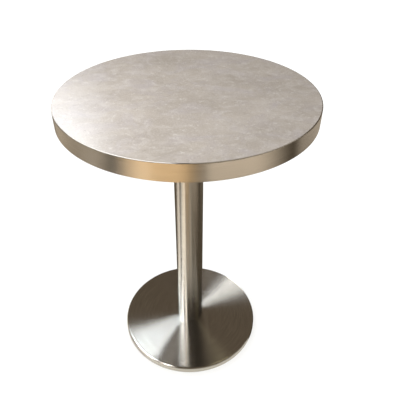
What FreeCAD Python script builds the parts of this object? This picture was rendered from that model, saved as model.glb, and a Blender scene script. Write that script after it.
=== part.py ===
"""Round pedestal restaurant table with a stone-look top and a brushed stainless base.

Millimetres, +Z up. The origin is on the floor, under the middle of the column.
"""
import FreeCAD
import Part
import math
import os

# Overall sizes
table_height = 780.0
top_diameter = 600.0
column_diameter = 76.0
base_diameter = 410.0

# Table top: laminate on both faces of a chipboard disc, with a steel band round it
top_thickness = 40.0
laminate_thickness = 1.0
backer_thickness = 1.0
band_thickness = 2.0
band_upper_round = 1.8
band_lower_round = 0.6
band_seam_gap = 0.4
board_edge_gap = 0.1

# Mounting plate under the top, and the hub welded below it
plate_width = 280.0
plate_thickness = 5.0
plate_corner_radius = 24.0
plate_edge_chamfer = 1.0
plate_hole_inset = 22.0
hub_height = 25.0

# Wood screws through the plate
screw_length = 25.0
screw_diameter = 5.0
screw_point_length = 5.0
screw_head_diameter = 9.5
screw_head_height = 3.2
screw_head_round = 1.4
screw_cross_width = 1.2
screw_cross_span = 5.2
screw_cross_depth = 1.6
screw_hole_gap = 0.5
screw_pilot_gap = 0.05

# Column tube and the plug that centres its foot
column_wall = 1.5
plug_height = 20.0
spigot_gap = 0.15
spigot_chamfer = 1.5

# Tie rod and its clamp under the base
rod_diameter = 10.0
rod_chamfer = 1.0
rod_hole_gap = 0.5
rod_thread_gap = 0.05
rod_end_gap = 4.0
rod_tail = 1.5
nut_width = 16.0
nut_height = 8.0
washer_diameter = 30.0
washer_thickness = 2.5
lock_washer_diameter = 18.0
lock_washer_thickness = 2.2
lock_washer_slit = 1.5
clamp_recess_gap = 4.0
clamp_web = 5.0

# Base: a spun steel cover over a cast iron weight
base_edge_height = 21.0
base_crown = 5.5
cover_wall = 1.5
cover_edge_round = 6.0
cover_foot_round = 1.2
cover_floor_gap = 2.5
cover_lip_width = 5.0
weight_gap = 0.4
weight_foot_round = 2.0

# Levelling feet: a stud screwed into the weight, turning in a pad
foot_count = 4
foot_edge_inset = 40.0
foot_retract = 1.0
foot_extend = 4.0
foot_end_gap = 0.5
foot_lift_gap = 1.0
foot_recess_gap = 2.5
pad_diameter = 32.0
pad_crown_diameter = 24.0
pad_height = 5.0
pad_skirt_height = 2.0
pad_round = 0.8
pad_floor_thickness = 1.6
pad_lip_thickness = 1.0
stud_diameter = 8.0
stud_flange_diameter = 14.0
stud_neck_diameter = 9.0
stud_hex_width = 13.0
stud_hex_height = 3.0
stud_chamfer = 0.8
stud_thread_gap = 0.05
socket_gap = 0.08

# Heights and radii that follow from the sizes above
top_underside = table_height - top_thickness
plate_underside = top_underside - plate_thickness
base_top = base_edge_height + base_crown
base_radius = base_diameter / 2
seat_radius = column_diameter / 2
bore_radius = seat_radius - column_wall
spigot_radius = bore_radius - spigot_gap
rod_radius = rod_diameter / 2
rod_hole_radius = rod_radius + rod_hole_gap
board_radius = top_diameter / 2 - band_thickness - board_edge_gap
clamp_ceiling = base_top - cover_wall - clamp_web
lock_washer_top = clamp_ceiling - washer_thickness
nut_top = lock_washer_top - lock_washer_thickness
rod_bottom = nut_top - nut_height - rod_tail
foot_circle_radius = base_radius - foot_edge_inset
weight_underside = pad_height + foot_retract + foot_lift_gap
hex_bottom = pad_height + foot_end_gap
hex_top = hex_bottom + stud_hex_height
recess_ceiling = hex_top + foot_retract + foot_end_gap

UP = FreeCAD.Vector(0, 0, 1)
CENTRE = FreeCAD.Vector(0, 0, 0)


def outline(corners, place):
    """Closed wire through (u, v, rounding) corners; place puts (u, v) in space."""
    joints = []
    for index, (u, v, rounding) in enumerate(corners):
        here = FreeCAD.Vector(u, v, 0)
        before = FreeCAD.Vector(*corners[index - 1][:2], 0) - here
        after = FreeCAD.Vector(*corners[(index + 1) % len(corners)][:2], 0) - here
        half_angle = before.getAngle(after) / 2
        before.normalize()
        after.normalize()
        reach = rounding / math.tan(half_angle)
        middle = here
        if rounding > 0:
            inward = (before + after).normalize()
            middle = here + inward * (rounding / math.sin(half_angle) - rounding)
        joints.append((here + before * reach, middle, here + after * reach, rounding))
    edges = []
    for index, (start, middle, end, rounding) in enumerate(joints):
        leaving = joints[index - 1][2]
        edges.append(Part.LineSegment(place(leaving), place(start)).toShape())
        if rounding > 0:
            edges.append(Part.Arc(place(start), place(middle), place(end)).toShape())
    return Part.Wire(edges)


def turned(corners):
    """Solid of revolution about Z from (radius, height, rounding) corners."""
    wire = outline(corners, lambda point: FreeCAD.Vector(point.x, 0, point.y))
    return Part.Face(wire).revolve(CENTRE, UP, 360)


def prism(corners, bottom, height):
    """Upright prism from (x, y, rounding) corners."""
    wire = outline(corners, lambda point: FreeCAD.Vector(point.x, point.y, bottom))
    return Part.Face(wire).extrude(UP * height)


def rod(radius, bottom, top):
    """Upright plain cylinder on the Z axis."""
    return Part.makeCylinder(radius, top - bottom, UP * bottom)


def ring(inner_radius, outer_radius, bottom, top):
    """Upright flat ring on the Z axis."""
    return rod(outer_radius, bottom, top).cut(rod(inner_radius, bottom, top))


def moved(shape, x, y, z=0.0):
    """Copy of a shape, shifted."""
    copy = shape.copy()
    copy.translate(FreeCAD.Vector(x, y, z))
    return copy


def hexagon(width, bottom, height):
    """Hexagonal prism with its corners turned off at 30 degrees on both ends."""
    corner_radius = width / math.sqrt(3)
    corners = []
    for index in range(6):
        angle = math.radians(60 * index)
        corners.append((corner_radius * math.cos(angle), corner_radius * math.sin(angle), 0))
    drop = (corner_radius - width / 2) * math.tan(math.radians(30))
    top = bottom + height
    turned_blank = turned([
        (0, bottom, 0),
        (width / 2, bottom, 0),
        (corner_radius, bottom + drop, 0),
        (corner_radius, top - drop, 0),
        (width / 2, top, 0),
        (0, top, 0),
    ])
    return prism(corners, bottom, height).common(turned_blank)


def cover_height(radius):
    """Height of the cover's outer face: a flat seat for the column, then a shallow cone."""
    fall = base_crown * (radius - seat_radius) / (base_radius - seat_radius)
    return base_top - max(0.0, fall)


def cover_underside(radius):
    """Height of the cover's inner face."""
    return cover_height(radius) - cover_wall


def screw_places():
    """Centres of the plate's holes: its corners and the middles of its sides."""
    reach = plate_width / 2 - plate_hole_inset
    steps = (-reach, 0.0, reach)
    return [(x, y) for x in steps for y in steps if (x, y) != (0.0, 0.0)]


def foot_places():
    """Centres of the levelling feet, spread evenly from the first diagonal."""
    places = []
    for index in range(foot_count):
        angle = math.radians(45 + 360 * index / foot_count)
        x = foot_circle_radius * math.cos(angle)
        y = foot_circle_radius * math.sin(angle)
        places.append((x, y))
    return places


def screw_shank(gap):
    """Shank with its point, from the head's seat at height 0; gap makes it the hole for one."""
    radius = screw_diameter / 2 + gap
    return turned([
        (0, 0, 0),
        (radius, 0, 0),
        (radius, screw_length - screw_point_length, 0),
        (0, screw_length + gap, 0),
    ])


def screw():
    """Pan head wood screw pointing up, with a cross recess in its head."""
    head_radius = screw_head_diameter / 2
    head = turned([
        (0, -screw_head_height, 0),
        (head_radius, -screw_head_height, screw_head_round),
        (head_radius, 0, 0),
        (0, 0, 0),
    ])
    slot = Part.makeBox(
        screw_cross_span,
        screw_cross_width,
        screw_cross_depth,
        FreeCAD.Vector(-screw_cross_span / 2, -screw_cross_width / 2, -screw_head_height),
    )
    crossing = slot.copy()
    crossing.rotate(CENTRE, UP, 90)
    return head.fuse(screw_shank(0.0)).cut(slot.fuse(crossing)).removeSplitter()


def top_laminate():
    """Stone-look sheet on the upper face."""
    return rod(board_radius, table_height - laminate_thickness, table_height)


def top_core():
    """Chipboard disc with a pilot hole for every screw."""
    core_bottom = top_underside + backer_thickness
    core = rod(board_radius, core_bottom, table_height - laminate_thickness)
    for x, y in screw_places():
        core = core.cut(moved(screw_shank(screw_pilot_gap), x, y, plate_underside))
    return core


def top_backer():
    """Balancing laminate on the lower face, drilled for the screws."""
    backer = rod(board_radius, top_underside, top_underside + backer_thickness)
    for x, y in screw_places():
        backer = backer.cut(moved(screw_shank(screw_pilot_gap), x, y, plate_underside))
    return backer


def edge_band():
    """Rolled steel strip, its ends butted at the back."""
    outer = top_diameter / 2
    inner = outer - band_thickness
    band = turned([
        (inner, top_underside, 0),
        (outer, top_underside, band_lower_round),
        (outer, table_height, band_upper_round),
        (inner, table_height, 0),
    ])
    seam = Part.makeBox(
        band_seam_gap,
        2 * band_thickness,
        top_thickness,
        FreeCAD.Vector(-band_seam_gap / 2, outer - 1.5 * band_thickness, top_underside),
    )
    return band.cut(seam)


def mounting_plate():
    """Square steel plate with rounded corners and a broken lower edge."""
    half = plate_width / 2
    corners = [
        (-half, -half, plate_corner_radius),
        (half, -half, plate_corner_radius),
        (half, half, plate_corner_radius),
        (-half, half, plate_corner_radius),
    ]
    plate = prism(corners, plate_underside, plate_thickness)
    mid_height = plate_underside + plate_thickness / 2
    lower_edges = [edge for edge in plate.Edges if edge.BoundBox.ZMax < mid_height]
    plate = plate.makeChamfer(plate_edge_chamfer, lower_edges)
    hole_radius = screw_diameter / 2 + screw_hole_gap
    for x, y in screw_places():
        plate = plate.cut(moved(rod(hole_radius, plate_underside, top_underside), x, y))
    return plate


def plate_hub():
    """Disc under the plate that fills the column's mouth and is tapped for the tie rod."""
    bottom = plate_underside - hub_height
    tapped_radius = rod_radius + rod_thread_gap
    return turned([
        (tapped_radius, bottom, 0),
        (spigot_radius - spigot_chamfer, bottom, 0),
        (spigot_radius, bottom + spigot_chamfer, 0),
        (spigot_radius, plate_underside, 0),
        (tapped_radius, plate_underside, 0),
    ])


def plate_screws():
    """All the wood screws, as separate solids."""
    return Part.makeCompound([moved(screw(), x, y, plate_underside) for x, y in screw_places()])


def column_tube():
    """Plain tube from the base cover to the mounting plate."""
    return ring(bore_radius, seat_radius, base_top, plate_underside)


def column_foot_plug():
    """Disc on the cover that centres the foot of the column."""
    top = base_top + plug_height
    return turned([
        (rod_hole_radius, base_top, 0),
        (spigot_radius, base_top, 0),
        (spigot_radius, top - spigot_chamfer, 0),
        (spigot_radius - spigot_chamfer, top, 0),
        (rod_hole_radius, top, 0),
    ])


def tie_rod():
    """Threaded rod from under the weight to the plate's hub."""
    rod_top = plate_underside - rod_end_gap
    return turned([
        (0, rod_bottom, 0),
        (rod_radius - rod_chamfer, rod_bottom, 0),
        (rod_radius, rod_bottom + rod_chamfer, 0),
        (rod_radius, rod_top - rod_chamfer, 0),
        (rod_radius - rod_chamfer, rod_top, 0),
        (0, rod_top, 0),
    ])


def tie_rod_washer():
    """Broad washer against the weight."""
    return ring(rod_hole_radius, washer_diameter / 2, lock_washer_top, clamp_ceiling)


def tie_rod_lock_washer():
    """Split spring washer between nut and washer."""
    washer = ring(rod_hole_radius, lock_washer_diameter / 2, nut_top, lock_washer_top)
    slit = Part.makeBox(
        lock_washer_diameter,
        lock_washer_slit,
        lock_washer_thickness,
        FreeCAD.Vector(0, -lock_washer_slit / 2, nut_top),
    )
    return washer.cut(slit)


def tie_rod_nut():
    """Hexagon nut that pulls the whole pedestal together."""
    nut = hexagon(nut_width, nut_top - nut_height, nut_height)
    return nut.cut(rod(rod_radius + rod_thread_gap, nut_top - nut_height, nut_top))


def base_cover():
    """Spun shell: seat, shallow cone, rounded shoulder, upright rim and a lip turned in below."""
    inner_radius = base_radius - cover_wall
    lip_top = cover_floor_gap + cover_wall
    return turned([
        (rod_hole_radius, base_top, 0),
        (seat_radius, base_top, 0),
        (base_radius, base_edge_height, cover_edge_round),
        (base_radius, cover_floor_gap, cover_foot_round),
        (base_radius - cover_lip_width, cover_floor_gap, 0),
        (base_radius - cover_lip_width, lip_top, 0),
        (inner_radius, lip_top, 0),
        (inner_radius, cover_underside(inner_radius), cover_edge_round - cover_wall),
        (seat_radius, base_top - cover_wall, 0),
        (rod_hole_radius, base_top - cover_wall, 0),
    ])


def base_weight():
    """Cast iron disc with the clamp's recess and a tapped, recessed hole for every foot."""
    weight_radius = base_radius - cover_wall - weight_gap
    clamp_radius = washer_diameter / 2 + clamp_recess_gap
    weight = turned([
        (rod_hole_radius, clamp_ceiling, 0),
        (clamp_radius, clamp_ceiling, 0),
        (clamp_radius, weight_underside, 0),
        (weight_radius, weight_underside, weight_foot_round),
        (weight_radius, cover_underside(weight_radius) - weight_gap, cover_edge_round),
        (seat_radius, base_top - cover_wall, 0),
        (rod_hole_radius, base_top - cover_wall, 0),
    ])
    tapped_radius = stud_diameter / 2 + stud_thread_gap
    recess_radius = stud_hex_width / math.sqrt(3) + foot_recess_gap
    for x, y in foot_places():
        tapped = rod(tapped_radius, weight_underside, base_top)
        recess = rod(recess_radius, weight_underside, recess_ceiling)
        weight = weight.cut(moved(tapped, x, y)).cut(moved(recess, x, y))
    return weight


def foot_pad():
    """Nylon pad with a snap-in socket for the stud's flange."""
    socket_radius = stud_flange_diameter / 2 + socket_gap
    mouth_radius = stud_neck_diameter / 2 + socket_gap
    socket_top = pad_height - pad_lip_thickness
    return turned([
        (0, 0, 0),
        (pad_diameter / 2, 0, pad_round),
        (pad_diameter / 2, pad_skirt_height, pad_round),
        (pad_crown_diameter / 2, pad_height, pad_round),
        (mouth_radius, pad_height, 0),
        (mouth_radius, socket_top, 0),
        (socket_radius, socket_top, 0),
        (socket_radius, pad_floor_thickness, 0),
        (0, pad_floor_thickness, 0),
    ])


def foot_stud():
    """Stud with a flange in the pad's socket, a hexagon to turn it by and a threaded end."""
    flange_bottom = pad_floor_thickness + socket_gap
    flange_top = pad_height - pad_lip_thickness - socket_gap
    stud_radius = stud_diameter / 2
    stud_top = cover_underside(foot_circle_radius + stud_radius) - foot_retract - foot_end_gap
    body = turned([
        (0, flange_bottom, 0),
        (stud_flange_diameter / 2, flange_bottom, 0),
        (stud_flange_diameter / 2, flange_top, 0),
        (stud_neck_diameter / 2, flange_top, 0),
        (stud_neck_diameter / 2, hex_bottom, 0),
        (stud_radius, hex_bottom, 0),
        (stud_radius, stud_top - stud_chamfer, 0),
        (stud_radius - stud_chamfer, stud_top, 0),
        (0, stud_top, 0),
    ])
    return body.fuse(hexagon(stud_hex_width, hex_bottom, stud_hex_height)).removeSplitter()


def table_pieces():
    """Every piece of the table, by node name."""
    pieces = {
        "top_laminate": top_laminate(),
        "top_core": top_core(),
        "top_backer": top_backer(),
        "edge_band": edge_band(),
        "mounting_plate": mounting_plate(),
        "plate_hub": plate_hub(),
        "plate_screws": plate_screws(),
        "column_tube": column_tube(),
        "column_foot_plug": column_foot_plug(),
        "tie_rod": tie_rod(),
        "tie_rod_washer": tie_rod_washer(),
        "tie_rod_lock_washer": tie_rod_lock_washer(),
        "tie_rod_nut": tie_rod_nut(),
        "base_cover": base_cover(),
        "base_weight": base_weight(),
    }
    for number, (x, y) in enumerate(foot_places(), start=1):
        pieces[f"foot_{number}_pad"] = moved(foot_pad(), x, y)
        pieces[f"foot_{number}_stud"] = moved(foot_stud(), x, y)
    return pieces


os.makedirs("parts", exist_ok=True)
for name, shape in table_pieces().items():
    shape.exportStep(f"parts/{name}.step")
    print(f"{name}: {len(shape.Solids)} solid, {shape.Volume / 1000:.2f} cm3, valid {shape.isValid()}")
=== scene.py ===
# %% [markdown]
# # A round restaurant table with a stone-look top and a brushed steel pedestal
# The table is already built as solids, piece by piece, at its real size. This lesson gives it
# its looks. The solids arrive as a fixed frame: nothing in it is moved or resized. The steel
# pieces that show are made again as finely turned sheets, and every other piece keeps its
# solid and gets the material that it has on a real table.

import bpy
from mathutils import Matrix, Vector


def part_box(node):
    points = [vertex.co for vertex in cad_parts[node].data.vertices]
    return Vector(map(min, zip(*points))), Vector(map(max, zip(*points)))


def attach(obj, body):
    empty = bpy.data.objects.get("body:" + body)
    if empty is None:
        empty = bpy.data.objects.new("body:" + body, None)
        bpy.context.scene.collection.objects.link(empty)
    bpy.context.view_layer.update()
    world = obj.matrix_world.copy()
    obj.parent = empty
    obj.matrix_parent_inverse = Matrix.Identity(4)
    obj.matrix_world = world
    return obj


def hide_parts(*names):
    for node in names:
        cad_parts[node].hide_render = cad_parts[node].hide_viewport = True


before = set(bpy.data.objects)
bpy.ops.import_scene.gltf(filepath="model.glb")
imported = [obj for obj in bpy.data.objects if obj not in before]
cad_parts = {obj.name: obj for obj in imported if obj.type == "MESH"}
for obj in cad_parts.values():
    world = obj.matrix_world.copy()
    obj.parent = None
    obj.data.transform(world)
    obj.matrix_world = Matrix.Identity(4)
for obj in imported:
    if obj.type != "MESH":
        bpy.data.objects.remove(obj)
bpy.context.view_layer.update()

# %% [markdown]
# ## Two helpers for everything that follows
# Materials and Geometry Nodes are both trees of nodes. One small function adds a node, sets
# it up and links it, so that each tree below reads as a list of what it does. A second one
# turns a colour as it is written for the screen into the linear light that Blender mixes.

# %% Node and colour helpers
import math

import bpy
from mathutils import Vector


def add_node(tree, kind, settings=None, inputs=None):
    """Adds a node with its settings. An input that is given a socket is linked to it."""
    node = tree.nodes.new(kind)
    for name, value in (settings or {}).items():
        setattr(node, name, value)
    for name, value in (inputs or {}).items():
        if isinstance(value, bpy.types.NodeSocket):
            tree.links.new(value, node.inputs[name])
        else:
            node.inputs[name].default_value = value
    return node


def linear(screen_hex):
    """A colour such as c8beb0, written for the screen, as linear red, green, blue and alpha."""
    channels = [int(screen_hex[place:place + 2], 16) / 255 for place in (0, 2, 4)]
    light = [c / 12.92 if c <= 0.04045 else ((c + 0.055) / 1.055) ** 2.4 for c in channels]
    return (*light, 1.0)


MM = 0.001
print("mid grey in linear light:", [round(channel, 3) for channel in linear("808080")[:3]])

# %% [markdown]
# ## Brushed stainless steel
# The band round the top, the column and the base cover are stainless sheet. Each was turned
# under an abrasive belt, so its scratches run round the axis. Fine parallel scratches spread
# a reflection across themselves and keep it sharp along themselves: that is why the base
# shows two bright fans and the column long upright stripes. The shader's anisotropy does
# this, with a tangent that runs round the Z axis. The scratches themselves are a noise that
# is stretched round the axis and varies quickly with radius and height.

# %% Material: brushed stainless steel


def principled(name):
    """A new material and its main shader."""
    material = bpy.data.materials.new(name)
    material.use_nodes = True
    return material.node_tree, material, material.node_tree.nodes["Principled BSDF"]


def brushed_stainless():
    """Stainless steel, belt-brushed round its axis: grey, slightly warm, streaked reflections."""
    scratch_pitch = 3.5 * MM     # real scratches are about 0.1 mm apart, too fine to show
    streaks_per_radian = 3.0
    tree, material, shader = principled("brushed_stainless_steel")
    place = add_node(tree, "ShaderNodeTexCoord").outputs["Object"]
    axes = add_node(tree, "ShaderNodeSeparateXYZ", inputs={0: place}).outputs
    flat = add_node(tree, "ShaderNodeCombineXYZ", inputs={"X": axes["X"], "Y": axes["Y"]}).outputs[0]
    radius = add_node(tree, "ShaderNodeVectorMath", {"operation": "LENGTH"}, {0: flat}).outputs["Value"]
    round_axis = add_node(tree, "ShaderNodeVectorMath", {"operation": "NORMALIZE"}, {0: flat}).outputs[0]
    along = add_node(tree, "ShaderNodeVectorMath", {"operation": "SCALE"},
                     {0: round_axis, "Scale": streaks_per_radian}).outputs[0]
    across = add_node(tree, "ShaderNodeMath", {"operation": "ADD"}, {0: radius, 1: axes["Z"]}).outputs[0]
    lines = add_node(tree, "ShaderNodeMath", {"operation": "DIVIDE"}, {
        0: across, 1: scratch_pitch}).outputs[0]
    lift = add_node(tree, "ShaderNodeCombineXYZ", inputs={"Z": lines}).outputs[0]
    grain = add_node(tree, "ShaderNodeVectorMath", {"operation": "ADD"}, {0: along, 1: lift}).outputs[0]
    scratches = add_node(tree, "ShaderNodeTexNoise", inputs={
        "Vector": grain, "Scale": 1.0, "Detail": 3.0, "Roughness": 0.65}).outputs["Fac"]
    tint = add_node(tree, "ShaderNodeMix", {"data_type": "RGBA"}, {
        "Factor": scratches, "A": linear("b5b1aa"), "B": linear("e3dfd9")})
    gloss = add_node(tree, "ShaderNodeMapRange", inputs={
        "Value": scratches, "From Min": 0.3, "From Max": 0.7, "To Min": 0.25, "To Max": 0.27}).outputs[0]
    bump = add_node(tree, "ShaderNodeBump", inputs={
        "Height": scratches, "Strength": 0.08, "Distance": 0.02 * MM}).outputs[0]
    tangent = add_node(tree, "ShaderNodeTangent", {"direction_type": "RADIAL", "axis": "Z"}).outputs[0]
    shader.inputs["Metallic"].default_value = 1.0
    shader.inputs["Anisotropic"].default_value = 1.0
    shader.inputs["Anisotropic Rotation"].default_value = 0.25
    tree.links.new(tint.outputs["Result"], shader.inputs["Base Color"])
    tree.links.new(gloss, shader.inputs["Roughness"])
    tree.links.new(bump, shader.inputs["Normal"])
    tree.links.new(tangent, shader.inputs["Tangent"])
    return material


steel = brushed_stainless()
print("made", steel.name, "with", len(steel.node_tree.nodes), "nodes")

# %% [markdown]
# ## Turning a sheet with Geometry Nodes
# Band, column and cover have one thing in common: a thin section carried round an axis. That
# is a rule, so one node tree makes all three. Spin in mesh code could do the same, but a tree
# keeps every size as an input that can be changed afterwards. Two helpers come first. One
# makes a tree with named inputs and keeps their identifiers, by which a modifier sets them.
# The other ends a tree with plain geometry in one material, because the export drops instances.

# %% Helpers for node trees


def new_tree(name, wanted):
    """A tree, its inputs, and the identifiers by which a modifier sets them."""
    tree = bpy.data.node_groups.new(name, "GeometryNodeTree")
    identifiers = {}
    for socket, kind in wanted.items():
        made = tree.interface.new_socket(socket, in_out="INPUT", socket_type=kind)
        identifiers[socket] = made.identifier
    tree.interface.new_socket("Piece", in_out="OUTPUT", socket_type="NodeSocketGeometry")
    return tree, add_node(tree, "NodeGroupInput").outputs, identifiers


def end_tree(tree, geometry, finish):
    """Ends a tree with plain geometry, no instances, in one material."""
    plain = add_node(tree, "GeometryNodeRealizeInstances", inputs={"Geometry": geometry}).outputs[0]
    finished = add_node(tree, "GeometryNodeSetMaterial", inputs={
        "Geometry": plain, "Material": finish}).outputs[0]
    add_node(tree, "NodeGroupOutput", inputs={"Piece": finished})


print("made two helpers for node trees")

# %% [markdown]
# The turning tree takes the section as a curve whose points carry the radius of each bend. It
# rounds the corners with Fillet Curve and sweeps the section round a circle with Curve to Mesh.
# A seam angle leaves the circle open, for the band, whose two ends meet at the back.

# %% The turning tree


def turning_tree():
    """Carries a section round the Z axis."""
    seam_place = math.pi / 2     # at the back, a quarter turn from +X
    tree, given, identifiers = new_tree("turned_sheet", {
        "Section": "NodeSocketGeometry",
        "Turning Radius": "NodeSocketFloat",
        "Seam Angle": "NodeSocketFloat",
        "Turn Steps": "NodeSocketInt",
        "Bend Steps": "NodeSocketInt",
        "Finish": "NodeSocketMaterial",
    })
    bend = add_node(tree, "GeometryNodeInputRadius").outputs["Radius"]
    section = add_node(tree, "GeometryNodeFilletCurve", {"mode": "POLY"}, {
        "Curve": given["Section"], "Count": given["Bend Steps"], "Radius": bend}).outputs["Curve"]
    closed = add_node(tree, "GeometryNodeCurvePrimitiveCircle", inputs={
        "Resolution": given["Turn Steps"], "Radius": given["Turning Radius"]}).outputs["Curve"]
    half_seam = add_node(tree, "ShaderNodeMath", {"operation": "MULTIPLY"}, {
        0: given["Seam Angle"], 1: 0.5}).outputs[0]
    start = add_node(tree, "ShaderNodeMath", {"operation": "ADD"}, {0: half_seam, 1: seam_place}).outputs[0]
    sweep = add_node(tree, "ShaderNodeMath", {"operation": "SUBTRACT"}, {
        0: 2 * math.pi, 1: given["Seam Angle"]}).outputs[0]
    opened = add_node(tree, "GeometryNodeCurveArc", inputs={
        "Resolution": given["Turn Steps"], "Radius": given["Turning Radius"],
        "Start Angle": start, "Sweep Angle": sweep}).outputs["Curve"]
    seamed = add_node(tree, "FunctionNodeCompare", {"data_type": "FLOAT", "operation": "GREATER_THAN"}, {
        0: given["Seam Angle"], 1: 0.0}).outputs["Result"]
    path = add_node(tree, "GeometryNodeSwitch", {"input_type": "GEOMETRY"}, {
        "Switch": seamed, "False": closed, "True": opened}).outputs["Output"]
    sheet = add_node(tree, "GeometryNodeCurveToMesh", inputs={
        "Curve": path, "Profile Curve": section, "Fill Caps": seamed}).outputs["Mesh"]
    end_tree(tree, sheet, given["Finish"])
    return tree, identifiers


sheet_tree, sheet_inputs = turning_tree()
print("turning tree inputs:", ", ".join(sheet_inputs))

# %% [markdown]
# A section is a short list of corners, each with its radius from the axis, its height and the
# radius of its bend. Beside each bend goes a guard point, a tenth of a millimetre past the
# end of the arc. Blender averages the faces round a vertex for smooth shading, and the narrow
# strip keeps that blend at the bend, so the long faces stay true and reflect cleanly.

# %% Sections
GUARD = 0.1 * MM


def guarded(corners):
    """The corners with a guard point on each side of every bend."""
    points = []
    for index, (radius, height, bend) in enumerate(corners):
        here = Vector((radius, height))
        before = Vector(corners[index - 1][:2]) - here
        after = Vector(corners[(index + 1) % len(corners)][:2]) - here
        reach = GUARD + bend / math.tan(before.angle(after) / 2)
        if bend:
            points.append((*(here + before.normalized() * reach), 0.0))
        points.append((radius, height, bend))
        if bend:
            points.append((*(here + after.normalized() * reach), 0.0))
    return points


def section_curve(name, corners, turning_radius, closed):
    """The section as a curve. A path's normal points down, so heights are negative here."""
    points = guarded(corners)
    curve = bpy.data.curves.new(name, "CURVE")
    curve.dimensions = "3D"
    spline = curve.splines.new("POLY")
    spline.points.add(len(points) - 1)
    spline.use_cyclic_u = closed
    for point, (radius, height, bend) in zip(spline.points, points):
        point.co = (radius - turning_radius, -height, 0.0, 1.0)
        point.radius = bend
    section = bpy.data.objects.new(name, curve)
    bpy.context.scene.collection.objects.link(section)
    return section


print("guard points lie", GUARD / MM, "mm past the end of each bend")

# %% [markdown]
# A modifier runs a tree on its maker, here a section. The result is copied into a plain mesh,
# which sits at the origin as the solids do, and the maker is removed with its modifier. Shading
# is smooth except over edges that bend by more than a set angle, so rounds look round and cut
# ends crisp.

# %% From a tree to a plain mesh
SHARP_ANGLE = math.radians(30)


def run_tree(maker, tree, identifiers, values):
    """Puts a tree on its maker as a modifier and sets the named inputs."""
    nodes = maker.modifiers.new(tree.name, "NODES")
    nodes.node_group = tree
    for socket, value in values.items():
        nodes[identifiers[socket]] = value


def plain_mesh(maker, name):
    """What the maker's nodes give, as a plain mesh piece at the origin."""
    depsgraph = bpy.context.evaluated_depsgraph_get()
    mesh = bpy.data.meshes.new_from_object(maker.evaluated_get(depsgraph))
    mesh.name = name
    mesh.shade_smooth()
    mesh.set_sharp_from_angle(angle=SHARP_ANGLE)
    bpy.data.objects.remove(maker)
    piece = bpy.data.objects.new(name, mesh)
    bpy.context.scene.collection.objects.link(piece)
    return piece


print("edges that bend by more than", round(math.degrees(SHARP_ANGLE)), "degrees stay sharp")

# %% [markdown]
# Three more helpers make a turned piece in one call and let it take the place of its solid. The
# piece rides on the table's body, so it moves with it in every pose.

# %% Turned pieces


def turned_maker(name, corners, turn_steps, bend_steps, finish, seam_angle=0.0, closed=True):
    """A section with the turning tree on it. Corners run clockwise, with the axis on the left."""
    turning_radius = max(radius for radius, height, bend in corners)
    maker = section_curve(name + "_section", corners, turning_radius, closed)
    run_tree(maker, sheet_tree, sheet_inputs, {
        "Turning Radius": turning_radius,
        "Seam Angle": seam_angle,
        "Turn Steps": turn_steps,
        "Bend Steps": bend_steps,
        "Finish": finish,
    })
    return maker


def turned_sheet(name, corners, turn_steps, bend_steps, seam_angle=0.0):
    """A finished piece of turned steel sheet."""
    return plain_mesh(turned_maker(name, corners, turn_steps, bend_steps, steel, seam_angle), name)


def dress(piece, node):
    """Lets a piece stand for a solid of the fixed table."""
    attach(piece, "table")
    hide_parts(node)
    size = [round(side / MM, 2) for side in piece.dimensions]
    print(piece.name, "stands for", node, "- size in mm:", size, "- faces:", len(piece.data.polygons))


print("made three helpers for turned pieces")

# %% [markdown]
# ## The band round the top
# A strip of 2 mm stainless is rolled into a hoop and glued to the board's edge. Its upper edge
# is rounded so that sleeves don't catch on it, and that round is the thin bright line between
# top and band. The two ends butt at the back with a hairline seam. A cylinder with a Bevel
# modifier would give the hoop, but the turning tree also opens the seam and closes its ends.

# %% Edge band
band_low, band_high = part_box("edge_band")
band_radius = band_high.x
band_thickness = 2.0 * MM
band_upper_round = 1.8 * MM
band_lower_round = 0.6 * MM
band_seam_gap = 0.4 * MM

edge_band = turned_sheet(
    "rolled_edge_band",
    [
        (band_radius - band_thickness, band_high.z, 0.0),
        (band_radius, band_high.z, band_upper_round),
        (band_radius, band_low.z, band_lower_round),
        (band_radius - band_thickness, band_low.z, 0.0),
    ],
    turn_steps=480, bend_steps=8, seam_angle=band_seam_gap / band_radius)
dress(edge_band, "edge_band")

# %% [markdown]
# ## The column
# The column is a stock tube, 76 mm across with a 1.5 mm wall. It stands on the base cover and
# carries the mounting plate. Its cut ends are deburred, which leaves a fine round that closes
# the joint to the cover with a soft line. The solid's coarse facets would break up its long
# reflections, so the tree turns it again in fine steps.

# %% Column tube
tube_low, tube_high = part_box("column_tube")
column_radius = tube_high.x
column_wall = 1.5 * MM
deburr = 0.3 * MM

column = turned_sheet(
    "brushed_column",
    [
        (column_radius - column_wall, tube_high.z, 0.0),
        (column_radius, tube_high.z, deburr),
        (column_radius, tube_low.z, deburr),
        (column_radius - column_wall, tube_low.z, 0.0),
    ],
    turn_steps=240, bend_steps=4)
dress(column, "column_tube")

# %% [markdown]
# ## The base cover
# A disc of sheet is spun over a former: a flat seat for the column, a very shallow cone, a
# rounded shoulder, an upright rim and a narrow lip turned in under the weight. Spinning carries
# one section round an axis, and so does the tree. Its section runs round both faces of the
# sheet, so the wall has its real thickness without a Solidify modifier.

# %% Base cover
cover_low, cover_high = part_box("base_cover")
base_radius = cover_high.x
cover_wall = 1.5 * MM
cover_crown = 5.5 * MM
cover_edge_round = 6.0 * MM
cover_foot_round = 1.2 * MM
cover_lip_width = 5.0 * MM
rod_hole_radius = 5.5 * MM
seat_round = 2.0 * MM
inner_radius = base_radius - cover_wall
lip_radius = base_radius - cover_lip_width
lip_top = cover_low.z + cover_wall
cone_slope = cover_crown / (base_radius - column_radius)

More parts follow.
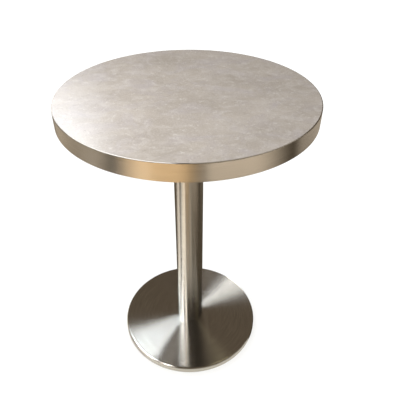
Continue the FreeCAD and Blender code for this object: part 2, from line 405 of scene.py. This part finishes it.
base_cover = turned_sheet(
    "spun_base_cover",
    [
        (rod_hole_radius, cover_high.z, 0.0),
        (column_radius, cover_high.z, seat_round),
        (base_radius, cover_high.z - cover_crown, cover_edge_round),
        (base_radius, cover_low.z, cover_foot_round),
        (lip_radius, cover_low.z, 0.0),
        (lip_radius, lip_top, 0.0),
        (inner_radius, lip_top, 0.0),
        (inner_radius, cover_high.z - cover_wall - cone_slope * (inner_radius - column_radius),
         cover_edge_round - cover_wall),
        (column_radius, cover_high.z - cover_wall, seat_round),
        (rod_hole_radius, cover_high.z - cover_wall, 0.0),
    ],
    turn_steps=360, bend_steps=12)
dress(base_cover, "base_cover")

# %% [markdown]
# ## The stone-look laminate
# The top is a decor laminate: a printed stone picture under clear melamine, pressed against a
# finely structured plate. It is matt from above and shows a broad sheen at a low angle. Four
# inks lie over the paper: warm grey clouds a hand wide, slightly cooler patches, paler worn
# spots a thumb wide and small light flecks. Each is one noise with its own real size, and a
# loop lays them over each other. A fifth noise is the fine grain, which shades the print and
# roughens it. All are drawn out a little along X, the way the paper ran through the press.

# %% Material: stone-look laminate


def stone_laminate():
    """Decor laminate, pressed: warm grey stone clouds under a satin melamine film."""
    paper = linear("aba298")
    inks = {
        "warm clouds": {
            "size": 80 * MM, "detail": 5.0, "break_up": 0.6, "swirl": 0.4,
            "noise_range": (0.35, 0.65), "cover": 1.0, "tone": "b9b0a6",
        },
        "cool patches": {
            "size": 60 * MM, "detail": 6.0, "break_up": 0.65, "swirl": 0.6,
            "noise_range": (0.47, 0.66), "cover": 0.8, "tone": "b3aba8",
        },
        "worn spots": {
            "size": 24 * MM, "detail": 8.0, "break_up": 0.7, "swirl": 0.8,
            "noise_range": (0.48, 0.72), "cover": 0.75, "tone": "c8c1ba",
        },
        "light flecks": {
            "size": 7 * MM, "detail": 4.0, "break_up": 0.6, "swirl": 1.0,
            "noise_range": (0.56, 0.74), "cover": 0.65, "tone": "d6d1ca",
        },
    }
    grain_size = 2.4 * MM        # the print's grain is about 0.5 mm, too fine to show
    stretch = 1.25
    tree, material, shader = principled("pressed_stone_laminate")
    straight = add_node(tree, "ShaderNodeTexCoord").outputs["Object"]
    place = add_node(tree, "ShaderNodeMapping", inputs={
        "Vector": straight, "Scale": (1 / stretch, 1.0, 1.0)}).outputs[0]
    noises = {}
    colour = paper
    for name, ink in inks.items():
        noises[name] = add_node(tree, "ShaderNodeTexNoise", inputs={
            "Vector": place, "Scale": 1 / ink["size"], "Detail": ink["detail"],
            "Roughness": ink["break_up"], "Distortion": ink["swirl"]}).outputs["Fac"]
        cover = add_node(tree, "ShaderNodeMapRange", inputs={
            "Value": noises[name], "From Min": ink["noise_range"][0], "From Max": ink["noise_range"][1],
            "To Max": ink["cover"]}).outputs[0]
        colour = add_node(tree, "ShaderNodeMix", {"data_type": "RGBA"}, {
            "Factor": cover, "A": colour, "B": linear(ink["tone"])}).outputs["Result"]
    grain = add_node(tree, "ShaderNodeTexNoise", inputs={
        "Vector": place, "Scale": 1 / grain_size, "Detail": 3.0, "Roughness": 0.6}).outputs["Fac"]
    shade = add_node(tree, "ShaderNodeMapRange", inputs={
        "Value": grain, "From Min": 0.3, "From Max": 0.7, "To Min": 0.87, "To Max": 1.13}).outputs[0]
    printed = add_node(tree, "ShaderNodeVectorMath", {"operation": "SCALE"}, {
        0: colour, "Scale": shade}).outputs[0]
    gloss = add_node(tree, "ShaderNodeMapRange", inputs={
        "Value": noises["worn spots"], "From Min": 0.3, "From Max": 0.7,
        "To Min": 0.26, "To Max": 0.34}).outputs[0]
    bump = add_node(tree, "ShaderNodeBump", inputs={
        "Height": grain, "Strength": 0.15, "Distance": 0.1 * MM}).outputs[0]
    shader.inputs["IOR"].default_value = 1.5
    tree.links.new(printed, shader.inputs["Base Color"])
    tree.links.new(gloss, shader.inputs["Roughness"])
    tree.links.new(bump, shader.inputs["Normal"])
    return material


def coat(material, *nodes):
    """Gives solids that keep their shape the material of the real piece."""
    for node in nodes:
        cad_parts[node].data.materials.clear()
        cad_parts[node].data.materials.append(material)
    print(material.name, "on", ", ".join(nodes))


coat(stone_laminate(), "top_laminate")

# %% [markdown]
# ## The chipboard core
# The board inside the top is pressed from wood chips and glue. Each chip has one tone, so the
# cells of a Voronoi texture suit it better than a noise, which would blur one into the next.

# %% Material: chipboard


def chipboard():
    """Pressed wood chips: pale brown flakes in random tones, dull."""
    chip_size = 4.0 * MM
    tree, material, shader = principled("pressed_chipboard")
    place = add_node(tree, "ShaderNodeTexCoord").outputs["Object"]
    chips = add_node(tree, "ShaderNodeTexVoronoi", inputs={"Vector": place, "Scale": 1 / chip_size}).outputs
    tones = add_node(tree, "ShaderNodeSeparateColor", inputs={0: chips["Color"]}).outputs["Red"]
    wood = add_node(tree, "ShaderNodeMix", {"data_type": "RGBA"}, {
        "Factor": tones, "A": linear("a07c52"), "B": linear("d2b184")}).outputs["Result"]
    bump = add_node(tree, "ShaderNodeBump", inputs={
        "Height": chips["Distance"], "Strength": 0.4, "Distance": 0.3 * MM}).outputs[0]
    shader.inputs["Roughness"].default_value = 0.85
    tree.links.new(wood, shader.inputs["Base Color"])
    tree.links.new(bump, shader.inputs["Normal"])
    return material


coat(chipboard(), "top_core")

# %% [markdown]
# ## The backing laminate
# A plain sheet under the board balances the decor sheet above it and keeps the top from warping.
# It is kraft paper in resin. One colour would do at this distance, but a soft noise gives it the
# faint mottle of paper and costs little.

# %% Material: backing laminate


def backing_laminate():
    """Kraft-paper backing sheet, pressed: dull dark grey-brown with a faint fibre mottle."""
    fibre_size = 12.0 * MM
    tree, material, shader = principled("kraft_backing_laminate")
    place = add_node(tree, "ShaderNodeTexCoord").outputs["Object"]
    fibres = add_node(tree, "ShaderNodeTexNoise", inputs={
        "Vector": place, "Scale": 1 / fibre_size, "Detail": 6.0, "Roughness": 0.7}).outputs["Fac"]
    paper = add_node(tree, "ShaderNodeMix", {"data_type": "RGBA"}, {
        "Factor": fibres, "A": linear("3b342e"), "B": linear("574e46")}).outputs["Result"]
    bump = add_node(tree, "ShaderNodeBump", inputs={
        "Height": fibres, "Strength": 0.2, "Distance": 0.1 * MM}).outputs[0]
    shader.inputs["Roughness"].default_value = 0.6
    tree.links.new(paper, shader.inputs["Base Color"])
    tree.links.new(bump, shader.inputs["Normal"])
    return material


coat(backing_laminate(), "top_backer")

# %% [markdown]
# ## The mounting plate
# The plate under the top is steel in black powder coat: dry paint that is melted on in an oven and
# draws into a fine ripple. The ripple is too shallow to change the outline, so a bump is enough.

# %% Material: powder coat


def black_powder_coat():
    """Powder paint, baked: soft black with the fine ripple called orange peel."""
    peel_size = 1.5 * MM
    tree, material, shader = principled("baked_black_powder_coat")
    place = add_node(tree, "ShaderNodeTexCoord").outputs["Object"]
    peel = add_node(tree, "ShaderNodeTexNoise", inputs={
        "Vector": place, "Scale": 1 / peel_size, "Detail": 2.0}).outputs["Fac"]
    paint = add_node(tree, "ShaderNodeMix", {"data_type": "RGBA"}, {
        "Factor": peel, "A": linear("191918"), "B": linear("262524")}).outputs["Result"]
    bump = add_node(tree, "ShaderNodeBump", inputs={
        "Height": peel, "Strength": 0.35, "Distance": 0.15 * MM}).outputs[0]
    shader.inputs["Roughness"].default_value = 0.42
    tree.links.new(paint, shader.inputs["Base Color"])
    tree.links.new(bump, shader.inputs["Normal"])
    return material


coat(black_powder_coat(), "mounting_plate")

# %% [markdown]
# ## The tie rod and the studs
# A tie rod with washers and a nut pulls the pedestal together from under the base. The studs of
# four levelling feet screw into the weight. All of them are zinc-plated. The plating isn't
# quite even, so one noise clouds both its tone and its gloss.

# %% Material: zinc plate
foot_numbers = range(1, 5)


def zinc_plate():
    """Bright zinc plating: cool light grey, satin, clouded by the passivation."""
    cloud_size = 6.0 * MM
    tree, material, shader = principled("bright_zinc_plated_steel")
    place = add_node(tree, "ShaderNodeTexCoord").outputs["Object"]
    clouds = add_node(tree, "ShaderNodeTexNoise", inputs={
        "Vector": place, "Scale": 1 / cloud_size, "Detail": 4.0}).outputs["Fac"]
    metal = add_node(tree, "ShaderNodeMix", {"data_type": "RGBA"}, {
        "Factor": clouds, "A": linear("b4bac0"), "B": linear("d5d8d8")}).outputs["Result"]
    gloss = add_node(tree, "ShaderNodeMapRange", inputs={
        "Value": clouds, "To Min": 0.25, "To Max": 0.42}).outputs[0]
    shader.inputs["Metallic"].default_value = 1.0
    tree.links.new(metal, shader.inputs["Base Color"])
    tree.links.new(gloss, shader.inputs["Roughness"])
    return material


zinc = zinc_plate()
coat(zinc, "tie_rod", "tie_rod_washer", "tie_rod_lock_washer", "tie_rod_nut",
     *[f"foot_{number}_stud" for number in foot_numbers])

# %% [markdown]
# ## The hub and the plug
# Two steel discs centre the column, one at each end. They come from a lathe, whose tool leaves
# fine rings. A wave texture draws rings round the Z axis at the even spacing of the tool's feed,
# where a noise would scatter them.

# %% Material: turned steel


def turned_steel():
    """Mild steel from the lathe: grey with fine tool marks round the axis."""
    feed = 0.8 * MM              # a real feed is about 0.2 mm, too fine to show
    wave_period = 0.314          # from ring to ring in a wave texture of scale 1
    tree, material, shader = principled("lathe_turned_steel")
    place = add_node(tree, "ShaderNodeTexCoord").outputs["Object"]
    marks = add_node(tree, "ShaderNodeTexWave", {"wave_type": "RINGS", "rings_direction": "Z"}, {
        "Vector": place, "Scale": wave_period / feed, "Distortion": 0.3}).outputs["Fac"]
    metal = add_node(tree, "ShaderNodeMix", {"data_type": "RGBA"}, {
        "Factor": marks, "A": linear("8d8b88"), "B": linear("a8a5a1")}).outputs["Result"]
    bump = add_node(tree, "ShaderNodeBump", inputs={
        "Height": marks, "Strength": 0.3, "Distance": 0.02 * MM}).outputs[0]
    shader.inputs["Metallic"].default_value = 1.0
    shader.inputs["Roughness"].default_value = 0.38
    tree.links.new(metal, shader.inputs["Base Color"])
    tree.links.new(bump, shader.inputs["Normal"])
    return material


coat(turned_steel(), "plate_hub", "column_foot_plug")

# %% [markdown]
# ## The weight
# A cast iron disc under the cover keeps the table from tipping. It was poured into sand, which
# leaves a rough skin. To displace the mesh would change its size, so a strong bump stands for it.

# %% Material: cast iron


def cast_iron():
    """Sand-cast iron in black primer: dark grey, dull, with the sand's rough skin."""
    sand_size = 1.8 * MM         # real grains are about 0.3 mm, too fine to show
    tree, material, shader = principled("sand_cast_iron")
    place = add_node(tree, "ShaderNodeTexCoord").outputs["Object"]
    sand = add_node(tree, "ShaderNodeTexNoise", inputs={
        "Vector": place, "Scale": 1 / sand_size, "Detail": 5.0, "Roughness": 0.7}).outputs["Fac"]
    skin = add_node(tree, "ShaderNodeMix", {"data_type": "RGBA"}, {
        "Factor": sand, "A": linear("262524"), "B": linear("454240")}).outputs["Result"]
    bump = add_node(tree, "ShaderNodeBump", inputs={
        "Height": sand, "Strength": 0.7, "Distance": 0.4 * MM}).outputs[0]
    shader.inputs["Metallic"].default_value = 0.4
    shader.inputs["Roughness"].default_value = 0.7
    tree.links.new(skin, shader.inputs["Base Color"])
    tree.links.new(bump, shader.inputs["Normal"])
    return material


coat(cast_iron(), "base_weight")

# %% [markdown]
# ## The pads of the feet
# Each stud turns in a moulded nylon pad, which slides on a floor without scratching it. The mould
# was spark-eroded, and its pitted skin is what the plastic shows: a fine bump and a satin gloss.

# %% Material: nylon


def black_nylon():
    """Moulded nylon: near black, satin, with a spark-eroded mould texture."""
    texture_size = 0.8 * MM      # real pits are about 0.1 mm, too fine to show
    tree, material, shader = principled("moulded_black_nylon")
    place = add_node(tree, "ShaderNodeTexCoord").outputs["Object"]
    texture = add_node(tree, "ShaderNodeTexNoise", inputs={
        "Vector": place, "Scale": 1 / texture_size, "Detail": 2.0}).outputs["Fac"]
    plastic = add_node(tree, "ShaderNodeMix", {"data_type": "RGBA"}, {
        "Factor": texture, "A": linear("161616"), "B": linear("222222")}).outputs["Result"]
    bump = add_node(tree, "ShaderNodeBump", inputs={
        "Height": texture, "Strength": 0.3, "Distance": 0.05 * MM}).outputs[0]
    shader.inputs["IOR"].default_value = 1.53
    shader.inputs["Roughness"].default_value = 0.45
    tree.links.new(plastic, shader.inputs["Base Color"])
    tree.links.new(bump, shader.inputs["Normal"])
    return material


coat(black_nylon(), *[f"foot_{number}_pad" for number in foot_numbers])

# %% [markdown]
# ## The screws of the mounting plate
# Eight pan head wood screws hold the plate to the board. They repeat, so Geometry Nodes make
# them. The turning tree makes one screw from its section. A second tree closes it at the axis,
# cuts the cross into its head with two blocks and sets a copy on each outer point of a grid of
# three by three. A fitter leaves each cross at a chance angle, so each copy is turned by a
# random angle with a fixed seed.

# %% The screw tree
weld_distance = 0.001 * MM
screws_a_side = 3
centre_reach = 1.0 * MM          # nearer to the grid's middle than this there is no screw


def screw_tree():
    """Cuts the cross into a screw's head and sets out the screws round a square."""
    tree, given, identifiers = new_tree("plate_screw_set", {
        "Screw": "NodeSocketGeometry",
        "Spread": "NodeSocketFloat",
        "Head Face": "NodeSocketFloat",
        "Cross Span": "NodeSocketFloat",
        "Cross Width": "NodeSocketFloat",
        "Cross Depth": "NodeSocketFloat",
        "Seed": "NodeSocketInt",
        "Finish": "NodeSocketMaterial",
    })
    screw = add_node(tree, "GeometryNodeMergeByDistance", inputs={
        "Geometry": given["Screw"], "Distance": weld_distance}).outputs[0]
    face = add_node(tree, "ShaderNodeCombineXYZ", inputs={"Z": given["Head Face"]}).outputs[0]
    # A block is centred on the head's face, so only half of its height cuts.
    height = add_node(tree, "ShaderNodeMath", {"operation": "MULTIPLY"}, {
        0: given["Cross Depth"], 1: 2.0}).outputs[0]
    for along_x, along_y in (("Cross Span", "Cross Width"), ("Cross Width", "Cross Span")):
        size = add_node(tree, "ShaderNodeCombineXYZ", inputs={
            "X": given[along_x], "Y": given[along_y], "Z": height}).outputs[0]
        block = add_node(tree, "GeometryNodeMeshCube", inputs={"Size": size}).outputs["Mesh"]
        sunk = add_node(tree, "GeometryNodeTransform", inputs={
            "Geometry": block, "Translation": face}).outputs[0]
        screw = add_node(tree, "GeometryNodeMeshBoolean", {
            "operation": "DIFFERENCE", "solver": "MANIFOLD"}, {
            "Mesh 1": screw, "Mesh 2": sunk}).outputs["Mesh"]
    grid = add_node(tree, "GeometryNodeMeshGrid", inputs={
        "Size X": given["Spread"], "Size Y": given["Spread"],
        "Vertices X": screws_a_side, "Vertices Y": screws_a_side}).outputs["Mesh"]
    spot = add_node(tree, "GeometryNodeInputPosition").outputs[0]
    reach = add_node(tree, "ShaderNodeVectorMath", {"operation": "LENGTH"}, {0: spot}).outputs["Value"]
    middle = add_node(tree, "FunctionNodeCompare", {"data_type": "FLOAT", "operation": "LESS_THAN"}, {
        0: reach, 1: centre_reach}).outputs["Result"]
    places = add_node(tree, "GeometryNodeDeleteGeometry", {"domain": "POINT"}, {
        "Geometry": grid, "Selection": middle}).outputs[0]
    turn = add_node(tree, "FunctionNodeRandomValue", {"data_type": "FLOAT_VECTOR"}, {
        "Min": (0.0, 0.0, 0.0), "Max": (0.0, 0.0, math.pi), "Seed": given["Seed"]}).outputs[0]
    screws = add_node(tree, "GeometryNodeInstanceOnPoints", inputs={
        "Points": places, "Instance": screw, "Rotation": turn}).outputs[0]
    end_tree(tree, screws, given["Finish"])
    return tree, identifiers


screw_set_tree, screw_set_inputs = screw_tree()
print("screw tree inputs:", ", ".join(screw_set_inputs))

# %% [markdown]
# The section of a screw is open at the axis: point, shank, the flat under the head and the head's
# rounded rim. Its heights and the spread of the set come from the boxes of the solids, so the
# screws stay in their holes when the plate changes.

# %% Plate screws
screw_low, screw_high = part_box("plate_screws")
plate_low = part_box("mounting_plate")[0]
head_radius = 4.75 * MM
head_round = 1.4 * MM
shank_radius = 2.5 * MM
point_length = 5.0 * MM

screw_maker = turned_maker(
    "plate_wood_screws",
    [
        (0.0, screw_high.z, 0.0),
        (shank_radius, screw_high.z - point_length, 0.0),
        (shank_radius, plate_low.z, 0.0),
        (head_radius, plate_low.z, 0.0),
        (head_radius, screw_low.z, head_round),
        (0.0, screw_low.z, 0.0),
    ],
    turn_steps=48, bend_steps=6, finish=zinc, closed=False)
run_tree(screw_maker, screw_set_tree, screw_set_inputs, {
    "Spread": screw_high.x - screw_low.x - 2 * head_radius,
    "Head Face": screw_low.z,
    "Cross Span": 5.2 * MM,
    "Cross Width": 1.2 * MM,
    "Cross Depth": 1.6 * MM,
    "Seed": 7,
    "Finish": zinc,
})
dress(plain_mesh(screw_maker, "plate_wood_screws"), "plate_screws")

# %% [markdown]
# ## Floor
# The floor is plain and pale. Brushed steel shows whatever lies round it, and an even white
# floor would wash it out. A photographer lays dark cloth and warm cards just outside the
# picture. Here the floor has two faces instead: to the camera and to matt surfaces it is pale
# paint, and in a mirror it is a dim floor with a few soft pools of light. Each pool lies
# between two azimuths, counted from +X and anticlockwise from above, and two radii.

# %% Pools of light
pool_rim_share = 0.12            # width of a pool's inner and outer rim, of its outer radius
light_pools = {
    "close_left": {
        "azimuth": (150, 192), "soft": (5, 5), "radius": (0.20, 0.27), "tint": "fffdec", "glow": 1.1,
    },
    "close_corner": {
        "azimuth": (192, 228), "soft": (5, 5), "radius": (0.20, 0.27), "tint": "fff8ec", "glow": 0.7,
    },
    "close_front": {
        "azimuth": (228, 335), "soft": (5, 5), "radius": (0.20, 0.27), "tint": "fbfaf0", "glow": 0.9,
    },
    "near_left": {
        "azimuth": (163, 190), "soft": (5, 5), "radius": (0.27, 1.0), "tint": "fff4e4", "glow": 1.3,
    },
    "near_corner": {
        "azimuth": (206, 240), "soft": (5, 5), "radius": (0.27, 0.95), "tint": "fff8e8", "glow": 1.5,
    },
    "near_front": {
        "azimuth": (240, 292), "soft": (5, 5), "radius": (0.27, 0.7), "tint": "fff4e0", "glow": 0.35,
    },
    "front_strip": {
        "azimuth": (275, 283), "soft": (4, 4), "radius": (0.5, 1.0), "tint": "fff4e0", "glow": 0.5,
    },
    "far_left": {
        "azimuth": (136, 210), "soft": (20, 18), "radius": (1.35, 3.0), "tint": "ffecd0", "glow": 0.58,
    },
    "far_front": {
        "azimuth": (226, 273), "soft": (30, 24), "radius": (1.35, 3.0), "tint": "ffd7a0", "glow": 2.45,
    },
    "far_right": {
        "azimuth": (283, 338), "soft": (14, 44), "radius": (1.35, 3.0), "tint": "ffeed6", "glow": 1.75,
    },
    "far_back": {
        "azimuth": (5, 60), "soft": (14, 14), "radius": (1.35, 3.0), "tint": "fff0dc", "glow": 0.5,
    },
}


def light_pool(tree, azimuth, radius, pool):
    """A patch of light on the floor with soft edges."""
    level = pool["glow"]
    soft_reach = pool_rim_share * pool["radius"][1]
    rims = [
        (azimuth, pool["azimuth"][0], pool["soft"][0]),
        (azimuth, pool["azimuth"][1], -pool["soft"][1]),
        (radius, pool["radius"][0], soft_reach),
        (radius, pool["radius"][1], -soft_reach),
    ]
    for value, rim, soft in rims:
        inside = add_node(tree, "ShaderNodeMapRange", {"interpolation_type": "SMOOTHSTEP"}, {
            "Value": value, "From Min": rim - soft / 2, "From Max": rim + soft / 2}).outputs[0]
        level = add_node(tree, "ShaderNodeMath", {"operation": "MULTIPLY"}, {0: level, 1: inside}).outputs[0]
    return add_node(tree, "ShaderNodeVectorMath", {"operation": "SCALE"}, {
        0: linear(pool["tint"])[:3], "Scale": level}).outputs[0]


print(len(light_pools), "pools of light:", ", ".join(light_pools))

# %% [markdown]
# The floor is one square of matt paint. For its second face, the shader works out the azimuth
# and the radius of each place and adds the pools to a dim tone. That face gives off light
# itself, so it needs no lamps, and Light Path shows it to mirrors only.

# %% Floor
FLOOR_REACH = 30.0
dim_floor = (0.096, 0.075, 0.051)


def mirrored_floor(tree):
    """What a mirror sees of the floor: a dim tone and the pools of light."""
    place = add_node(tree, "ShaderNodeTexCoord").outputs["Object"]
    axes = add_node(tree, "ShaderNodeSeparateXYZ", inputs={0: place}).outputs
    turn = add_node(tree, "ShaderNodeMath", {"operation": "ARCTAN2"}, {0: axes["Y"], 1: axes["X"]}).outputs[0]
    degrees = add_node(tree, "ShaderNodeMath", {"operation": "DEGREES"}, {0: turn}).outputs[0]
    azimuth = add_node(tree, "ShaderNodeMath", {"operation": "FLOORED_MODULO"}, {
        0: degrees, 1: 360.0}).outputs[0]
    radius = add_node(tree, "ShaderNodeVectorMath", {"operation": "LENGTH"}, {0: place}).outputs["Value"]
    glow = add_node(tree, "ShaderNodeCombineXYZ", inputs=dict(enumerate(dim_floor))).outputs[0]
    for pool in light_pools.values():
        glow = add_node(tree, "ShaderNodeVectorMath", {"operation": "ADD"}, {
            0: glow, 1: light_pool(tree, azimuth, radius, pool)}).outputs[0]
    return add_node(tree, "ShaderNodeEmission", inputs={"Color": glow}).outputs[0]


def pale_floor():
    """A wide matt floor under the feet, painted pale."""
    reach = FLOOR_REACH
    mesh = bpy.data.meshes.new("floor")
    mesh.from_pydata([(-reach, -reach, 0), (reach, -reach, 0), (reach, reach, 0), (-reach, reach, 0)],
                     [], [(0, 1, 2, 3)])
    floor = bpy.data.objects.new("floor", mesh)
    bpy.context.scene.collection.objects.link(floor)
    tree, material, paint = principled("pale_floor_paint")
    paint.inputs["Base Color"].default_value = linear("f4f4f3")
    paint.inputs["Roughness"].default_value = 0.9
    paint.inputs["Specular IOR Level"].default_value = 0.0
    in_mirror = add_node(tree, "ShaderNodeLightPath").outputs["Is Glossy Ray"]
    face = add_node(tree, "ShaderNodeMixShader", inputs={
        0: in_mirror, 1: paint.outputs[0], 2: mirrored_floor(tree)}).outputs[0]
    tree.links.new(face, tree.nodes["Material Output"].inputs["Surface"])
    mesh.materials.append(material)
    return floor


floor = pale_floor()
print("floor", 2 * FLOOR_REACH, "m wide")

# %% [markdown]
# ## Walls
# The world works the same way as the floor: a white dome for the camera and for everything
# matt, and a dim warm room for mirrors. Where base and column mirror each other, a ray bounces
# twice and finds a darker room. That keeps the foot of the column as dark as in the picture.

# %% World
backdrop = (1.0, 1.0, 1.0, 1.0)
dome_light = (0.72, 0.72, 0.72, 1.0)
dim_room = (0.137, 0.108, 0.078, 1.0)
twice_mirrored_room = (0.03, 0.024, 0.018, 1.0)
second_bounce = 1.5              # Glossy Depth counts bounces: above this, the second has come


def studio_world():
    """White for matt surfaces and the camera, a dim warm room for reflections."""
    world = bpy.data.worlds.new("studio")
    world.use_nodes = True
    tree = world.node_tree
    ray = add_node(tree, "ShaderNodeLightPath").outputs
    twice = add_node(tree, "ShaderNodeMath", {"operation": "GREATER_THAN"}, {
        0: ray["Glossy Depth"], 1: second_bounce}).outputs[0]
    mirrored = add_node(tree, "ShaderNodeMix", {"data_type": "RGBA"}, {
        "Factor": twice, "A": dim_room, "B": twice_mirrored_room}).outputs["Result"]
    room = add_node(tree, "ShaderNodeMix", {"data_type": "RGBA"}, {
        "Factor": ray["Is Diffuse Ray"], "A": mirrored, "B": dome_light}).outputs["Result"]
    seen = add_node(tree, "ShaderNodeMix", {"data_type": "RGBA"}, {
        "Factor": ray["Is Camera Ray"], "A": room, "B": backdrop}).outputs["Result"]
    tree.links.new(seen, tree.nodes["Background"].inputs["Color"])
    world.cycles.sampling_method = "NONE"
    bpy.context.scene.world = world


studio_world()
bpy.context.scene.view_settings.view_transform = "Standard"
print("dome", dome_light[:3], "room", dim_room[:3])

# %% [markdown]
# ## Soft boxes
# Windows of light stand round the table, out of the picture, and three cards hang over it.
# Glowing planes could do this too, but area lights give less noise. Only reflections show them,
# and light linking keeps each to some pieces, as a photographer does with flags.

# %% Helpers for soft boxes


def light_only(lamp, pieces):
    """Lets a lamp reach the given pieces and nothing else, and keeps it out of the picture."""
    receivers = bpy.data.collections.new(lamp.name + "_lights")
    for piece in pieces:
        receivers.objects.link(piece)
    lamp.light_linking.receiver_collection = receivers
    lamp.visible_camera = False
    bpy.context.scene.collection.objects.link(lamp)


def soft_box(name, centre, back, width, height, tint, radiance, lit):
    """A rectangle of light at its centre, with its back to the given direction."""
    light = bpy.data.lights.new(name, "AREA")
    light.shape = "RECTANGLE"
    light.size = width
    light.size_y = height
    light.color = linear(tint)[:3]
    light.energy = radiance * math.pi * width * height
    box = bpy.data.objects.new(name, light)
    box.location = centre
    box.rotation_euler = back.to_track_quat("Z", "Y").to_euler()
    box.visible_diffuse = False
    light_only(box, lit)
    print(name, width, "by", height, "m")


print("made two helpers for soft boxes")

# %% [markdown]
# The left, front and right windows make the column's stripes and the base's two bright fans. The
# slit beside the right window brightens one side of the right fan, which ends it sharply there.
# The back window lays a pale sheen on the top, and the rim window lights the band's upper round.

# %% Windows
window_distance = 3.0
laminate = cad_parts["top_laminate"]
pedestal = [column, base_cover]


def window(name, azimuth, width, low, high, tint, radiance, lit):
    """An upright soft box that faces the column."""
    outward = Vector((math.cos(math.radians(azimuth)), math.sin(math.radians(azimuth)), 0.0))
    centre = outward * window_distance + Vector((0.0, 0.0, (low + high) / 2))
    soft_box(name, centre, outward, width, high - low, tint, radiance, lit)


window("tall_left_window", azimuth=150, width=1.6, low=3.1, high=8.2,
       tint="ecf7ff", radiance=9.8, lit=pedestal)
window("near_left_window", azimuth=195, width=1.6, low=2.0, high=4.8,
       tint="f6faff", radiance=9.8, lit=pedestal)
window("front_left_window", azimuth=232, width=0.8, low=2.0, high=4.8,
       tint="fffdf8", radiance=9.4, lit=pedestal)
window("right_window", azimuth=66, width=0.55, low=0.0, high=1.7,
       tint="fffffb", radiance=4.7, lit=pedestal)
window("right_slit", azimuth=71.5, width=0.13, low=0.0, high=1.7,
       tint="fffffb", radiance=6.0, lit=[base_cover])
window("back_window", azimuth=116, width=0.7, low=2.3, high=3.1,
       tint="e9f3ff", radiance=14.0, lit=[laminate])
window("rim_window", azimuth=118, width=2.4, low=0.5, high=3.3,
       tint="fbfdff", radiance=1.6, lit=[edge_band])

# %% [markdown]
# Two low cards light the band's upper round from above, which draws the fine line there, brighter
# at the left. The high card adds a weak third fan to the front of the base.

# %% Cards
card_height = 2.5
card_size = 3.0
card_gap = 0.2
left_place = Vector((-card_gap - card_size / 2, 0.0, card_height))
right_place = Vector((card_size / 2, 0.0, card_height))
high_place = Vector((2.2, -0.2, 6.0))
high_card_size = 1.6


def card(name, centre, size, tint, radiance, lit):
    """A square soft box that faces down."""
    upward = Vector((0.0, 0.0, 1.0))
    soft_box(name, centre, upward, size, size, tint, radiance, lit)


card("left_card", left_place, card_size, tint="fbfdff", radiance=2.2, lit=[edge_band])
card("right_card", right_place, card_size, tint="fff8ee", radiance=0.5, lit=[edge_band])
card("high_card", high_place, high_card_size, tint="fff5c8", radiance=1.3, lit=[base_cover])

# %% [markdown]
# ## Light for what is matt
# The dome alone would leave the top flat and the floor grey under the base. A small lamp at
# the left brightens the top towards that side, as a real window would. A shadowless wash from
# above keeps the floor even. Mirrors don't see either of them.

# %% Window lamp and floor wash
window_place = Vector((-0.82, -0.36, 1.25))
window_size = 0.5
window_energy = 11.5
top_centre = Vector((0.0, 0.0, band_high.z))
wash_place = Vector((0.0, 0.0, 3.0))
wash_strength = 1.8
floor_centre = Vector((0.0, 0.0, 0.0))


def matt_lamp(light, place, aim, lit):
    """Puts a light at its place, turns it to its aim and hides it from mirrors."""
    lamp = bpy.data.objects.new(light.name, light)
    lamp.location = place
    lamp.rotation_euler = (place - aim).to_track_quat("Z", "Y").to_euler()
    lamp.visible_glossy = False
    light_only(lamp, lit)
    print(light.name, "aims at", [round(value, 3) for value in aim])


window_lamp = bpy.data.lights.new("window_lamp", "AREA")
window_lamp.size = window_size
window_lamp.energy = window_energy
matt_lamp(window_lamp, window_place, top_centre, [laminate])
floor_wash = bpy.data.lights.new("floor_wash", "SUN")
floor_wash.energy = wash_strength
floor_wash.use_shadow = False
matt_lamp(floor_wash, wash_place, floor_centre, [floor])

# %% [markdown]
# ## The camera
# The picture was taken from a little over a metre away, from above the edge of the table, with
# a mild wide angle. The lens follows from how strongly the base shrinks against the top.

# %% Camera
camera_distance = 1.1887
camera_elevation = math.radians(36.34)
camera_target = Vector((0.0199, 0.0, 0.4887))
toward_camera = Vector((0.0, -math.cos(camera_elevation), math.sin(camera_elevation)))
camera_data = bpy.data.cameras.new("camera")
camera_data.lens = 40.4
camera_data.sensor_width = 36.0
camera_data.shift_x = 0.0091
camera_data.shift_y = -0.0083
camera = bpy.data.objects.new("camera", camera_data)
camera.location = camera_target + toward_camera * camera_distance
camera.rotation_euler = toward_camera.to_track_quat("Z", "Y").to_euler()
bpy.context.scene.collection.objects.link(camera)
bpy.context.scene.camera = camera
print("camera at", [round(value, 4) for value in camera.location])
